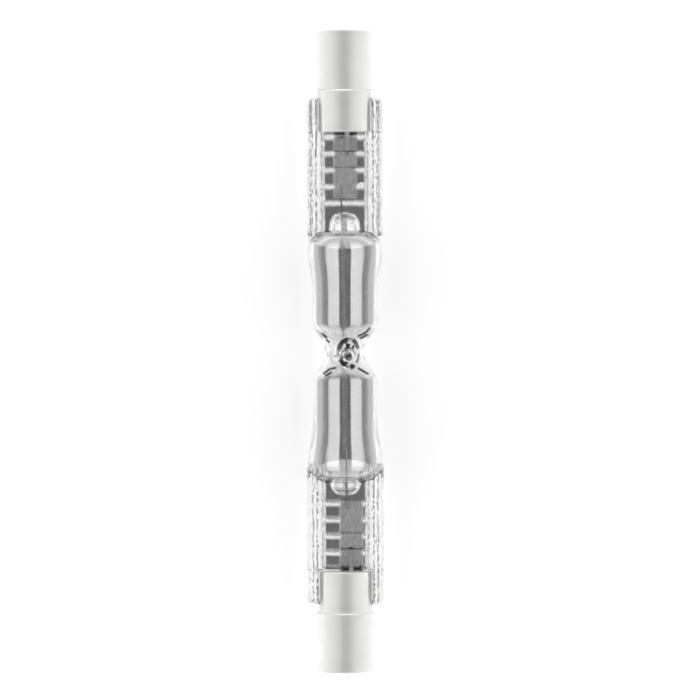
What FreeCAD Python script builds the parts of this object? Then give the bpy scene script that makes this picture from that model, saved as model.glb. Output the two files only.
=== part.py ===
"""Linear halogen bulb, 78 mm long, with two chambers and a recessed contact at each end.

The bulb lies along Y with its pinch seals flat in the XY plane and its exhaust tip up, and the origin is
the middle of its axis. End a is at +Y and end b at -Y. Millimetres.
"""

import FreeCAD, Part
import math
import os
import re

import Sketcher

Vector = FreeCAD.Vector
doc = FreeCAD.newDocument("linear_halogen_bulb")

# Driving dimensions, each written once. A name that ends in _a or _b belongs to that end only.
# Along the axis, a "reach" is a distance from the middle of the bulb, and an "inset" is a distance
# in from the end of the pinch seal, so that the seals keep their form when the bulb gets longer.
SIZES = {
    "overall_length": 78.0,
    # ceramic cap
    "neck_radius": 3.25,
    "collar_rise": 0.3,
    "collar_length": 7.15,
    "neck_length": 5.1,
    "cap_edge_round": 0.25,
    "mouth_round": 0.12,
    "recess_radius": 2.1,
    "recess_chamfer": 0.2,
    # contact button
    "contact_depth": 1.55,
    "seat_radius": 1.85,
    "contact_head": 0.45,
    "contact_side_gap": 0.06,
    "contact_edge_round": 0.15,
    "shank_radius": 1.1,
    "shank_length": 3.0,
    "shank_gap": 0.03,
    # outer lead
    "outer_lead_radius": 0.3,
    "outer_lead_gap": 0.02,
    "outer_lead_depth": 2.2,
    "outer_lead_straight": 0.3,
    "weld_inset_a": 6.5,
    "weld_inset_b": 6.8,
    "outer_lead_offset_a": 0.32,
    "outer_lead_offset_b": 0.66,
    # pinch seal
    "pinch_insertion": 4.15,
    "slot_end_gap": 0.2,
    "slot_side_gap": 0.1,
    "cement_setback": 0.3,
    "web_half_width": 2.6,
    "web_half_height": 1.2,
    "rail_half_width_a": 4.62,
    "rail_half_width_b": 4.75,
    "rail_half_height": 1.85,
    "rail_round": 0.9,
    "rail_inset": 17.6,
    "tongue_half_height": 0.75,
    "tongue_side_gap": 0.1,
    "rib_height": 0.3,
    "rib_width_a": 0.38,
    "rib_width_b": 0.48,
    "rib_pitch": 2.0,
    "rib_count": 5,
    "rib_inset_a": 12.83,
    "rib_inset_b": 12.4,
    # molybdenum foil
    "foil_width": 2.9,
    "foil_thickness": 0.06,
    "weld_bite": 0.02,
    "foil_length": 10.4,
    "foil_inset_a": 12.14,
    "foil_inset_b": 12.9,
    "foil_offset_a": 0.11,
    "foil_offset_b": 0.72,
    # inner lead
    "inner_lead_radius": 0.15,
    "inner_lead_weld": 1.2,
    "inner_lead_inset_a": 16.1,
    "inner_lead_inset_b": 15.5,
    # filament
    "filament_radius": 0.08,
    "filament_sides": 8,
    "coil_facets": 8,
    "coil_radius": 0.26,
    "coil_offset_a": -0.17,
    "coil_offset_b": -0.07,
    "coil_reach_a": 2.39,
    "coil_reach_b": 2.48,
    "coil_inset_a": 18.16,
    "coil_inset_b": 18.92,
    "coil_pitch": 0.37,
    # chamber wall, outside
    "waist_radius": 2.56,
    "waist_reach_a": 1.66,
    "waist_reach_b": 1.75,
    "shoulder_reach_a": 3.6,
    "shoulder_reach_b": 3.46,
    "tube_radius_a": 3.99,
    "tube_radius_b": 3.92,
    "flare_share_a": 0.557,
    "flare_share_b": 0.453,
    "bulge_radius_a": 4.58,
    "bulge_radius_b": 4.62,
    "bulge_inset_a": 18.5,
    "bulge_inset_b": 17.5,
    "dome_round": 2.2,
    "bowl_wall": 0.75,
    # cavity
    "wall": 0.75,
    "bowl_radius": 1.65,
    "bowl_inset_a": 14.3,
    "bowl_inset_b": 13.8,
    # exhaust tip
    "tip_offset": 0.3,
    "tip_half_width": 1.4,
    "tip_half_length": 1.9,
    "tip_height": 4.3,
    "tip_bore_radius": 0.45,
    "tip_cover": 1.1,
}

ENDS = {"a": 1, "b": -1}

sheet = doc.addObject("Spreadsheet::Sheet", "Sizes")
for row, (name, number) in enumerate(SIZES.items(), start=1):
    sheet.set(f"A{row}", name)
    sheet.set(f"B{row}", str(number))
    sheet.setAlias(f"B{row}", name)
doc.recompute()


def bound(text):
    """A formula in the names of the sizes, as an expression on the sheet's cells."""
    return re.sub(r"[a-z_]+", lambda word: f"Sizes.{word[0]}" if word[0] in SIZES else word[0], text)


def value(text):
    """The number that a formula in the names of the sizes comes to."""
    return float(sheet.evalExpression(bound(text)))


def tie(item, **formulas):
    """Binds properties of an object to formulas in the names of the sizes."""
    for prop, text in formulas.items():
        item.setExpression(prop.replace("__", "."), bound(text))


# Formulas that several pieces share.
HALF = "overall_length / 2"
STEP = f"({HALF} - collar_length)"
MOUTH = f"({STEP} - neck_length)"
PINCH_END = f"({MOUTH} + pinch_insertion)"
SLOT_FLOOR = f"({PINCH_END} + slot_end_gap)"
CAP_RADIUS = "(neck_radius + collar_rise)"
CONTACT_FACE = f"({HALF} - contact_depth)"
SEAT = f"({CONTACT_FACE} - contact_head)"
SHANK_END = f"({SEAT} - shank_length)"
HOLE = "(shank_radius + shank_gap)"
SLOT_HALF_HEIGHT = "(tongue_half_height + slot_side_gap)"
INNER_LEAD_HEIGHT = "(foil_thickness / 2 + inner_lead_radius - weld_bite)"
OUTER_LEAD_HEIGHT = "(foil_thickness / 2 + outer_lead_radius - weld_bite)"


def along(place, end):
    """Distance from the middle of the bulb to a place of one end that is given by its inset."""
    return f"({PINCH_END} - {place}_inset_{end})"


def flare_start(end):
    """Where a chamber's tube starts to widen: back from its bulge by a share of the way to its shoulder."""
    span = f"({along('bulge', end)} - shoulder_reach_{end})"
    return f"({along('bulge', end)} - flare_share_{end} * {span})"


def plane(body, role):
    """One of a body's own origin planes."""
    return next(item for item in body.Origin.OriginFeatures if item.Role == role)


def arc_between(start, end, radius, side):
    """The centre of the short arc from start to end that turns left (side 1) or right (side -1)."""
    chord = end - start
    rise = math.sqrt(max(radius**2 - (chord.Length / 2) ** 2, 0.0))
    left = Vector(-chord.y, chord.x, 0).normalize()
    return (start + end) / 2 + left * (side * rise)


def outline(body, name, role, path, mirror=1, offset="0"):
    """A sketch of one closed outline on an origin plane of the body, moved by offset along its normal.

    Each item of path is the end of one line, as formulas for its two coordinates, or of one arc, with
    its radius and side (1 turns left, -1 turns right) added. The second coordinate is times mirror.
    """
    sketch = body.newObject("Sketcher::SketchObject", name)
    sketch.AttachmentSupport = [(plane(body, role), "")]
    sketch.MapMode = "FlatFace"
    tie(sketch, AttachmentOffset__Base__z=offset)
    points = [Vector(value(item[0]), mirror * value(item[1]), 0) for item in path]
    starts = []
    for index, item in enumerate(path):
        start, end = points[index - 1], points[index]
        if len(item) == 2:
            line = sketch.addGeometry(Part.LineSegment(start, end))
            starts.append((line, 1, 2))
            continue
        radius, side = value(item[2]), item[3] * mirror
        centre = arc_between(start, end, radius, side)
        first, last = (start, end) if side > 0 else (end, start)
        angles = [math.atan2(spot.y - centre.y, spot.x - centre.x) for spot in (first, last)]
        circle = Part.Circle(centre, Vector(0, 0, 1), radius)
        arc = sketch.addGeometry(Part.ArcOfCircle(circle, *angles))
        starts.append((arc, 1, 2) if side > 0 else (arc, 2, 1))
        bend = sketch.addConstraint(Sketcher.Constraint("Radius", arc, radius))
        sketch.setExpression(f"Constraints[{bend}]", bound(item[2]))
    for index, item in enumerate(path):
        edge, _, tail = starts[index]
        following, head, _ = starts[(index + 1) % len(path)]
        sketch.addConstraint(Sketcher.Constraint("Coincident", edge, tail, following, head))
        for axis, kind, text, spot, sign in (
            (-2, "DistanceX", item[0], points[index].x, 1),
            (-1, "DistanceY", item[1], points[index].y, mirror),
        ):
            if text == "0":
                sketch.addConstraint(Sketcher.Constraint("PointOnObject", edge, tail, axis))
                continue
            place = sketch.addConstraint(Sketcher.Constraint(kind, -1, 1, edge, tail, spot))
            sketch.setExpression(f"Constraints[{place}]", bound(text if sign > 0 else f"-({text})"))
    return sketch


def add(body, kind, name, sketch):
    """A PartDesign feature of the given kind, made from a sketch."""
    feature = body.newObject(f"PartDesign::{kind}", name)
    feature.Profile = sketch
    sketch.Visibility = False
    return feature


def turned(body, kind, name, sketch):
    """A full turn of a sketch about the bulb's axis, as material or as a groove."""
    feature = add(body, kind, name, sketch)
    feature.ReferenceAxis = (sketch, ["V_Axis"])
    feature.Angle = 360
    return feature


def new_body(name):
    """A body with its label."""
    body = doc.addObject("PartDesign::Body", name)
    body.Label = name
    return body


def ceramic_cap(end, mirror):
    """Turned ceramic cap with a contact recess, an axial hole and a slot across its neck for the pinch."""
    body = new_body(f"ceramic_cap_{end}")
    profile = [
        (HOLE, MOUTH),
        ("neck_radius - mouth_round", MOUTH),
        ("neck_radius", f"{MOUTH} + mouth_round", "mouth_round", 1),
        ("neck_radius", f"{STEP} - collar_rise"),
        (CAP_RADIUS, STEP, "collar_rise", -1),
        (CAP_RADIUS, f"{HALF} - cap_edge_round"),
        (f"{CAP_RADIUS} - cap_edge_round", HALF, "cap_edge_round", 1),
        ("recess_radius + recess_chamfer", HALF),
        ("recess_radius", f"{HALF} - recess_chamfer"),
        ("recess_radius", CONTACT_FACE),
        ("seat_radius", CONTACT_FACE),
        ("seat_radius", SEAT),
        (HOLE, SEAT),
    ]
    sketch = outline(body, f"cap_profile_{end}", "XY_Plane", profile, mirror)
    turned(body, "Revolution", f"cap_turning_{end}", sketch)
    before_mouth, floor = f"{mirror} * ({MOUTH} - mouth_round)", f"{mirror} * {SLOT_FLOOR}"
    slot = [
        (before_mouth, f"-{SLOT_HALF_HEIGHT}"),
        (floor, f"-{SLOT_HALF_HEIGHT}"),
        (floor, SLOT_HALF_HEIGHT),
        (before_mouth, SLOT_HALF_HEIGHT),
    ]
    pocket = add(body, "Pocket", f"pinch_slot_{end}", outline(body, f"slot_profile_{end}", "YZ_Plane", slot))
    pocket.Midplane = True
    tie(pocket, Length="neck_radius * 2")
    return body


def contact_button(end, mirror):
    """Turned contact: a flat head at the bottom of the recess and a shank bored for the outer lead."""
    body = new_body(f"contact_button_{end}")
    bore = "(outer_lead_radius + outer_lead_gap)"
    head = "(seat_radius - contact_side_gap)"
    profile = [
        (bore, SHANK_END),
        ("shank_radius", SHANK_END),
        ("shank_radius", SEAT),
        (head, SEAT),
        (head, f"{CONTACT_FACE} - contact_edge_round"),
        (f"{head} - contact_edge_round", CONTACT_FACE, "contact_edge_round", 1),
        ("0", CONTACT_FACE),
        ("0", f"{SHANK_END} + outer_lead_depth"),
        (bore, f"{SHANK_END} + outer_lead_depth"),
    ]
    sketch = outline(body, f"contact_profile_{end}", "XY_Plane", profile, mirror)
    turned(body, "Revolution", f"contact_turning_{end}", sketch)
    return body


def chamber_wall(body, end, mirror):
    """Outside of one chamber: waist, shoulder, tube, bulge, dome and the bulge over the bowl."""
    waist, shoulder = f"waist_reach_{end}", f"shoulder_reach_{end}"
    tube, tube_end = f"tube_radius_{end}", flare_start(end)
    bulge, bulge_end = f"bulge_radius_{end}", along("bulge", end)
    rise, run = f"({tube} - waist_radius)", f"({shoulder} - {waist})"
    bend = f"({rise} ^ 2 + {run} ^ 2) / (4 * {rise})"
    flare, reach = f"({bulge} - {tube})", f"({bulge_end} - {tube_end})"
    sweep = f"({flare} ^ 2 + {reach} ^ 2) / (4 * {flare})"
    bowl = "(bowl_radius + bowl_wall)"
    dome_top = f"({bulge_end} + dome_round)"
    bowl_height = f"({along('bowl', end)} + bowl_wall - {dome_top})"
    bowl_curve = f"({bowl} ^ 2 + {bowl_height} ^ 2) / (2 * {bowl_height})"
    profile = [
        ("0", "0"),
        ("waist_radius", "0"),
        ("waist_radius", waist),
        (f"waist_radius + {rise} / 2", f"{waist} + {run} / 2", bend, -1),
        (tube, shoulder, bend, 1),
        (tube, tube_end),
        (f"{tube} + {flare} / 2", f"{tube_end} + {reach} / 2", sweep, -1),
        (bulge, bulge_end, sweep, 1),
        (f"{bulge} - dome_round", dome_top, "dome_round", 1),
        (bowl, dome_top),
        ("0", f"{dome_top} + {bowl_height}", bowl_curve, 1),
    ]
    sketch = outline(body, f"chamber_profile_{end}", "XY_Plane", profile, mirror)
    turned(body, "Revolution", f"chamber_{end}", sketch)


def cavity(body, end, mirror):
    """Inside of one chamber: the outside's curves set in by the wall, and the bowl that ends it."""
    waist, shoulder = f"waist_reach_{end}", f"shoulder_reach_{end}"
    tube, tube_end = f"(tube_radius_{end} - wall)", flare_start(end)
    bulge, bulge_end = f"(bulge_radius_{end} - wall)", along("bulge", end)
    throat = "(waist_radius - wall)"
    rise, run = f"({tube} - {throat})", f"({shoulder} - {waist})"
    bend = f"({rise} ^ 2 + {run} ^ 2) / (4 * {rise})"
    flare, reach = f"({bulge} - {tube})", f"({bulge_end} - {tube_end})"
    sweep = f"({flare} ^ 2 + {reach} ^ 2) / (4 * {flare})"
    dome = "(dome_round - wall / 2)"
    bowl_floor = along("bowl", end)
    profile = [
        ("0", "0"),
        (throat, "0"),
        (throat, waist),
        (f"{throat} + {rise} / 2", f"{waist} + {run} / 2", bend, -1),
        (tube, shoulder, bend, 1),
        (tube, tube_end),
        (f"{tube} + {flare} / 2", f"{tube_end} + {reach} / 2", sweep, -1),
        (bulge, bulge_end, sweep, 1),
        (f"{bulge} - {dome}", f"{bulge_end} + {dome}", dome, 1),
        ("bowl_radius", f"{bulge_end} + {dome}"),
        ("bowl_radius", f"{bowl_floor} - bowl_radius"),
        ("0", bowl_floor, "bowl_radius", 1),
    ]
    sketch = outline(body, f"cavity_profile_{end}", "XY_Plane", profile, mirror)
    turned(body, "Groove", f"cavity_{end}", sketch)


def pinch_section(end):
    """H-shaped section of the pinch seal: a flat web between two rounded rails."""
    wide, high = f"rail_half_width_{end}", "rail_half_height"
    web, thin, corner = "web_half_width", "web_half_height", "rail_round"
    lip = f"({high} - {thin}) / 2"
    upper = [
        (web, thin),
        (web, f"{high} - {lip}"),
        (f"{web} + {lip}", high, lip, -1),
        (f"{wide} - {corner}", high),
        (wide, f"{high} - {corner}", corner, -1),
    ]
    lower = [
        (wide, f"-({high} - {corner})"),
        (f"{wide} - {corner}", f"-{high}", corner, -1),
        (f"{web} + {lip}", f"-{high}"),
        (web, f"-({high} - {lip})", lip, -1),
        (web, f"-{thin}"),
    ]
    right = upper + lower
    return right + [(f"-({x})", f"-({z})", *bend) for x, z, *bend in right]


def pinch(body, end, mirror):
    """The pressed seal of one end: cross ribs on both faces, and a flat tongue that goes into the cap.

    The rails run on beside the cap's neck, and the neck's mouth meets the seal where the tongue starts.
    """
    start = f"{-mirror} * ({PINCH_END} - rail_inset)"
    sketch = outline(body, f"pinch_section_{end}", "XZ_Plane", pinch_section(end), offset=start)
    seal = add(body, "Pad", f"pinch_{end}", sketch)
    seal.Reversed = mirror > 0
    tie(seal, Length="rail_inset")
    spread, height = "web_half_width", "(web_half_height + rib_height)"
    rib = [(f"-{spread}", f"-{height}"), (spread, f"-{height}"), (spread, height), (f"-{spread}", height)]
    start = f"{-mirror} * ({along('rib', end)} - rib_width_{end} / 2)"
    sketch = outline(body, f"rib_section_{end}", "XZ_Plane", rib, offset=start)
    bar = add(body, "Pad", f"rib_{end}", sketch)
    bar.Reversed = mirror > 0
    tie(bar, Length=f"rib_width_{end}")
    ribs = body.newObject("PartDesign::LinearPattern", f"ribs_{end}")
    ribs.Originals = [bar]
    ribs.Direction = (plane(body, "Y_Axis"), [""])
    ribs.Reversed = mirror < 0
    tie(ribs, Length="rib_pitch * (rib_count - 1)", Occurrences="rib_count")
    body.Tip = ribs
    wide = "(neck_radius + tongue_side_gap)"
    beside_neck = [(f"-{wide}", MOUTH), (wide, MOUTH), (wide, SLOT_FLOOR), (f"-{wide}", SLOT_FLOOR)]
    for face, side in (("top", 1), ("bottom", -1)):
        level = f"{side} * tongue_half_height"
        sketch = outline(body, f"{face}_relief_{end}", "XY_Plane", beside_neck, mirror, level)
        relief = add(body, "Pocket", f"{face}_of_tongue_{end}", sketch)
        relief.Reversed = side > 0
        tie(relief, Length="rail_half_height")


def exhaust_tip(body):
    """The stub where the exhaust tube was melted off, over the waist and a little to +X."""
    tip = body.newObject("PartDesign::AdditiveEllipsoid", "exhaust_tip")
    tie(
        tip,
        Radius1="tip_height / 2",
        Radius2="tip_half_width",
        Radius3="tip_half_length",
        Placement__Base__x="tip_offset",
        Placement__Base__z="tip_height / 2",
    )
    bore = body.newObject("PartDesign::SubtractiveEllipsoid", "exhaust_bore")
    tie(
        bore,
        Radius1="(tip_height - tip_cover) / 2",
        Radius2="tip_bore_radius",
        Radius3="tip_bore_radius",
        Placement__Base__x="tip_offset",
        Placement__Base__z="(tip_height - tip_cover) / 2",
    )


def envelope_blank():
    """The quartz envelope before the foils and leads are sealed in."""
    body = new_body("quartz_blank")
    for end, mirror in ENDS.items():
        chamber_wall(body, end, mirror)
    for end, mirror in ENDS.items():
        pinch(body, end, mirror)
    exhaust_tip(body)
    for end, mirror in ENDS.items():
        cavity(body, end, mirror)
    return body


def foil_strip(end, mirror):
    """Thin flat strip that carries the current through the seal, before its leads bite into it."""
    strip = doc.addObject("Part::Box", f"foil_strip_{end}")
    near = along("foil", end) if mirror > 0 else f"-{along('foil', end)} - foil_length"
    tie(
        strip,
        Length="foil_width",
        Width="foil_length",
        Height="foil_thickness",
        Placement__Base__x=f"foil_offset_{end} - foil_width / 2",
        Placement__Base__y=near,
        Placement__Base__z="-foil_thickness / 2",
    )
    return strip


def foil(end, strip, welded):
    """Molybdenum foil with a shallow groove where each lead is welded on."""
    piece = doc.addObject("Part::Cut", f"molybdenum_foil_{end}")
    piece.Base, piece.Tool = strip, welded
    return piece


# Sideways distance from a coil's axis to its leads, which meet the coil's round at the height of the leads.
TAIL_ASIDE = f"sqrt(coil_radius ^ 2 - {INNER_LEAD_HEIGHT} ^ 2)"


def lead_offset(end):
    """Sideways place of an inner lead: the filament leaves coil a at -X and coil b at +X."""
    return f"(coil_offset_{end} - {ENDS[end]} * {TAIL_ASIDE})"


def inner_lead(end, mirror):
    """Straight wire from the foil to the filament's tail."""
    wire = doc.addObject("Part::Cylinder", f"inner_lead_{end}")
    wire.Placement = FreeCAD.Placement(Vector(), FreeCAD.Rotation(Vector(1, 0, 0), -90 * mirror))
    tie(
        wire,
        Radius="inner_lead_radius",
        Height=f"inner_lead_inset_{end} - foil_inset_{end} + inner_lead_weld",
        Placement__Base__x=lead_offset(end),
        Placement__Base__y=f"{mirror} * {along('inner_lead', end)}",
        Placement__Base__z=INNER_LEAD_HEIGHT,
    )
    return wire


def swept(edges, radius):
    """A round wire of the given radius along edges that run on smoothly."""
    path = Part.Wire(edges)
    start = edges[0].valueAt(edges[0].FirstParameter)
    heading = edges[0].tangentAt(edges[0].FirstParameter)
    ring = Part.Wire([Part.makeCircle(radius, start, heading)])
    wire = path.makePipeShell([ring], True, False)
    if wire.Volume < 0:
        wire.reverse()
    return wire


def outer_lead(end, mirror):
    """Wire from its weld on the foil, through the seal, bent to the axis and into the contact's shank."""
    weld = value(along("weld", end))
    bend_start = value(f"{PINCH_END} + outer_lead_straight")
    bend_end = value(f"{SHANK_END} - outer_lead_straight")
    tip = value(f"{SHANK_END} + outer_lead_depth")
    side = Vector(value(f"outer_lead_offset_{end}"), 0, value(OUTER_LEAD_HEIGHT))
    shift, run = side.Length, bend_end - bend_start
    radius = (shift**2 + run**2) / (4 * shift)
    quarter = math.asin(run / 2 / radius) / 2
    away = side / shift

    def spot(distance, aside):
        return Vector(away.x * aside, mirror * distance, away.z * aside)

    first = spot(bend_start + radius * math.sin(quarter), shift - radius * (1 - math.cos(quarter)))
    second = spot(bend_end - radius * math.sin(quarter), radius * (1 - math.cos(quarter)))
    middle = spot((bend_start + bend_end) / 2, shift / 2)
    edges = [
        Part.makeLine(spot(weld, shift), spot(bend_start, shift)),
        Part.Arc(spot(bend_start, shift), first, middle).toShape(),
        Part.Arc(middle, second, spot(bend_end, 0)).toShape(),
        Part.makeLine(spot(bend_end, 0), spot(tip, 0)),
    ]
    wire = doc.addObject("Part::Feature", f"outer_lead_{end}")
    wire.Shape = swept(edges, value("outer_lead_radius"))
    return wire


def coil_points(end, mirror):
    """Corners of one coil's wire, as a helix toward -Y that starts on the -X side at the height of the leads.

    Coil a has whole turns, and coil b has half a turn more, because its tail is on the +X side.
    """
    inner, outer = value(f"coil_reach_{end}"), value(along("coil", end))
    near, far = (outer, inner) if mirror > 0 else (-inner, -outer)
    centre, radius = value(f"coil_offset_{end}"), value("coil_radius")
    start = math.asin(value(INNER_LEAD_HEIGHT) / radius)
    turns = max(1, round((outer - inner) / value("coil_pitch") - (end == "b") / 2))
    turning = 2 * math.pi * turns
    if end == "b":
        turning += math.pi - 2 * start
    steps = math.ceil(turning / 2 / math.pi * value("coil_facets"))
    return [
        Vector(
            centre - radius * math.cos(start + turning * step / steps),
            near + (far - near) * step / steps,
            radius * math.sin(start + turning * step / steps),
        )
        for step in range(steps + 1)
    ]


def faceted_wire(points, radius, sides):
    """A closed solid: a wire of regular section, mitred at each corner of its path."""
    heading = (points[1] - points[0]).normalize()
    across = heading.cross(Vector(0, 0, 1)).normalize()
    upright = heading.cross(across)
    angles = [2 * math.pi * side / sides for side in range(sides)]
    rings = [[points[0] + (across * math.cos(a) + upright * math.sin(a)) * radius for a in angles]]
    for index in range(1, len(points)):
        last = index == len(points) - 1
        after = heading if last else (points[index + 1] - points[index]).normalize()
        mitre = (heading + after).normalize()
        corner = points[index]
        slope = heading.dot(mitre)
        rings.append([spot + heading * ((corner - spot).dot(mitre) / slope) for spot in rings[-1]])
        heading = after
    faces = []
    for ring, following in zip(rings, rings[1:]):
        for side in range(sides):
            beside = (side + 1) % sides
            quad = [ring[side], ring[beside], following[beside], following[side], ring[side]]
            faces.append(Part.Face(Part.makePolygon(quad)))
    for ring in (rings[0], rings[-1]):
        faces.append(Part.Face(Part.makePolygon(ring + ring[:1])))
    solid = Part.Solid(Part.makeShell(faces))
    if solid.Volume < 0:
        solid.reverse()
    return solid


def filament():
    """Tungsten filament: a tail, coil a, the straight link through the waist, coil b and a tail."""
    coils = coil_points("a", 1) + coil_points("b", -1)
    head, foot = coils[0], coils[-1]
    tail_a = Vector(head.x, value(along("inner_lead", "a")), head.z)
    tail_b = Vector(foot.x, -value(along("inner_lead", "b")), foot.z)
    route = [tail_a, *coils, tail_b]
    wire = doc.addObject("Part::Feature", "filament")
    wire.Shape = faceted_wire(route, value("filament_radius"), round(value("filament_sides")))
    return wire


def cement(end, mirror, blank, lead):
    """Cement that fills the cap's slot around the end of the pinch."""
    disc = doc.addObject("Part::Cylinder", f"cement_disc_{end}")
    disc.Placement = FreeCAD.Placement(Vector(), FreeCAD.Rotation(Vector(1, 0, 0), -90 * mirror))
    near = f"({MOUTH} + cement_setback)"
    tie(
        disc,
        Radius="neck_radius - cement_setback",
        Height=f"{SLOT_FLOOR} - {near}",
        Placement__Base__y=f"{mirror} * {near}",
    )
    slab = doc.addObject("Part::Box", f"cement_slab_{end}")
    start = near if mirror > 0 else f"-{SLOT_FLOOR}"
    tie(
        slab,
        Length="neck_radius * 2",
        Width=f"{SLOT_FLOOR} - {near}",
        Height=f"{SLOT_HALF_HEIGHT} * 2",
        Placement__Base__x="-neck_radius",
        Placement__Base__y=start,
        Placement__Base__z=f"-{SLOT_HALF_HEIGHT}",
    )
    plug = doc.addObject("Part::Common", f"cement_plug_{end}")
    plug.Base, plug.Tool = disc, slab
    sealed = doc.addObject("Part::MultiFuse", f"seal_end_{end}")
    sealed.Shapes = [blank, lead]
    fill = doc.addObject("Part::Cut", f"cement_{end}")
    fill.Base, fill.Tool = plug, sealed
    return fill


def joined(name, pieces):
    """Several solids as one tool for a cut."""
    tool = doc.addObject("Part::MultiFuse", name)
    tool.Shapes = pieces
    return tool


nodes = []
sealed_in = []
blank = envelope_blank()
for end, mirror in ENDS.items():
    inner, outer, strip = inner_lead(end, mirror), outer_lead(end, mirror), foil_strip(end, mirror)
    leads = joined(f"welded_leads_{end}", [inner, outer])
    nodes += [ceramic_cap(end, mirror), contact_button(end, mirror), cement(end, mirror, blank, outer)]
    nodes += [foil(end, strip, leads), inner, outer]
    sealed_in += [strip, inner, outer]
envelope = doc.addObject("Part::Cut", "quartz_envelope")
envelope.Base, envelope.Tool = blank, joined("sealed_metal", sealed_in)
nodes += [envelope, filament()]
for node in nodes:
    node.Label = node.Name
doc.recompute()

for item in doc.Objects:
    if {"Invalid", "Error"} & set(item.State):
        raise SystemExit(f"{item.Name} failed: {item.State}")
for node in nodes:
    if node.Shape.isNull() or not node.Shape.isValid():
        raise SystemExit(f"{node.Name} has no valid shape")

os.makedirs("parts", exist_ok=True)
for node in nodes:
    node.Shape.exportStep(f"parts/{node.Label}.step")
    box = node.Shape.optimalBoundingBox(False)
    spans = ((box.XMin, box.XMax), (box.YMin, box.YMax), (box.ZMin, box.ZMax))
    extent = "  ".join(f"{low:7.3f} to {high:7.3f}" for low, high in spans)
    print(f"{node.Label:20} {len(node.Shape.Solids)} solid {node.Shape.Volume:9.3f} mm3  {extent}")
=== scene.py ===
# %% [markdown]
# A linear halogen bulb, 78 mm long. A tungsten filament hangs in a quartz tube with two blown
# chambers. Each end of the tube is pressed flat around a thin molybdenum foil, which carries the
# current through the seal, and ends in a white ceramic cap with a metal contact sunk in its face.
# This lesson dresses a plain CAD model of that bulb: it gives every piece its true surface and
# finish, then sets up a pale studio and a camera straight above it.

import bpy
import numpy as np
from mathutils import Matrix, Vector


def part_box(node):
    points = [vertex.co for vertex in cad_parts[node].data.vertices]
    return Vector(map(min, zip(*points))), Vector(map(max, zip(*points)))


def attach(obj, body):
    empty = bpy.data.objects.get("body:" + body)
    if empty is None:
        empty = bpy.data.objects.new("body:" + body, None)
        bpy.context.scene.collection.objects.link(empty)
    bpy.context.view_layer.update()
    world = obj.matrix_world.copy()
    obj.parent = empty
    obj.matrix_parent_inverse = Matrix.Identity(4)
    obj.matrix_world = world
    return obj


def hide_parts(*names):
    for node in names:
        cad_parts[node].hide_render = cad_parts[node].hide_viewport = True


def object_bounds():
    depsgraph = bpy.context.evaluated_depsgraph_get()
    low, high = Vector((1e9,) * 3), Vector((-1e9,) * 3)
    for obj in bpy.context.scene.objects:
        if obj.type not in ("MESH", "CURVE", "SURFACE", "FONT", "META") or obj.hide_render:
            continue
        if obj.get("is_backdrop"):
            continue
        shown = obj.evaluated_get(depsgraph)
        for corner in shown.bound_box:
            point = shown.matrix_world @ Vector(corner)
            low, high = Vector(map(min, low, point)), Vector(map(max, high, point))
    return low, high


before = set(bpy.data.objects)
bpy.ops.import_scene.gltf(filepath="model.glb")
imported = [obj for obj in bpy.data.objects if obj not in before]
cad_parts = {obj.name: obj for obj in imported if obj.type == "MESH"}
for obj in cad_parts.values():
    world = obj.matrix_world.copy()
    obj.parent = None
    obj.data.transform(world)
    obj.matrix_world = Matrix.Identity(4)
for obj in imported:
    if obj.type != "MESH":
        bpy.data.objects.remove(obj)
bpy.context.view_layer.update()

# %% [markdown]
# Every shape below is a table of points: one row for each place along the bulb, one column for
# each place around it. The same shapes could be pushed into place by hand, but numpy works out a
# whole table at once from a formula, and each length in it can be held against the real bulb. The
# bulb lies along Y, with end a at +Y, end b at -Y and the flat of its seals level. Lengths are
# written in millimetres and turned to metres only when a mesh is made.

# %% Faces between the rows of a table
MM = 0.001


def grid_faces(rows, columns):
    """Four-sided faces between neighbouring rows of a table whose last column joins its first."""
    row, column = np.meshgrid(np.arange(rows - 1), np.arange(columns), indexing="ij")
    beside = (column + 1) % columns
    corners = [row * columns + column, (row + 1) * columns + column]
    corners += [(row + 1) * columns + beside, row * columns + beside]
    return np.stack(corners, axis=-1).reshape(-1, 4)


print("faces in a table of 3 rows and 4 columns:", len(grid_faces(3, 4)))


# %% A piece from its tables
def add_piece(name, tables, material, slot, node, values=None):
    """One object from closed tables of points in mm, each table's two end rows shut by a face."""
    points, quads, lids, start = [], [], [], 0
    for table in tables:
        rows, columns = table.shape[:2]
        quads.append(grid_faces(rows, columns) + start)
        lids.append((np.arange(columns) + start).tolist())
        lids.append((np.arange(columns)[::-1] + start + (rows - 1) * columns).tolist())
        points.append(table.reshape(-1, 3))
        start += rows * columns
    points = np.concatenate(points) * MM
    mesh = bpy.data.meshes.new(name)
    mesh.from_pydata(points.tolist(), [], np.concatenate(quads).tolist() + lids)
    mesh.shade_smooth()
    for label, numbers in (values or {}).items():
        layer = mesh.attributes.new(label, "FLOAT", "POINT")
        layer.data.foreach_set("value", np.ascontiguousarray(numbers, np.float32).ravel())
    mesh.materials.append(material)
    thing = bpy.data.objects.new(name, mesh)
    bpy.context.scene.collection.objects.link(thing)
    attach(thing, "root")
    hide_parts(node)
    print(f"{name}: {len(mesh.vertices)} points, {len(mesh.polygons)} faces")


def box_mm(node):
    """Low and high corner of a CAD node's box, in mm."""
    return [np.array(corner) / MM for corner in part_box(node)]


print("the envelope reaches from", *(corner.round(2) for corner in box_mm("quartz_envelope")))

# %% [markdown]
# A material is a small tree of nodes. One helper adds a node, gives it its settings and joins its
# inputs, so that each material below reads as a list of what it is made of. Colours are written
# as the hex codes that a paint chart gives, and turned to the linear light that Blender mixes.

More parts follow.
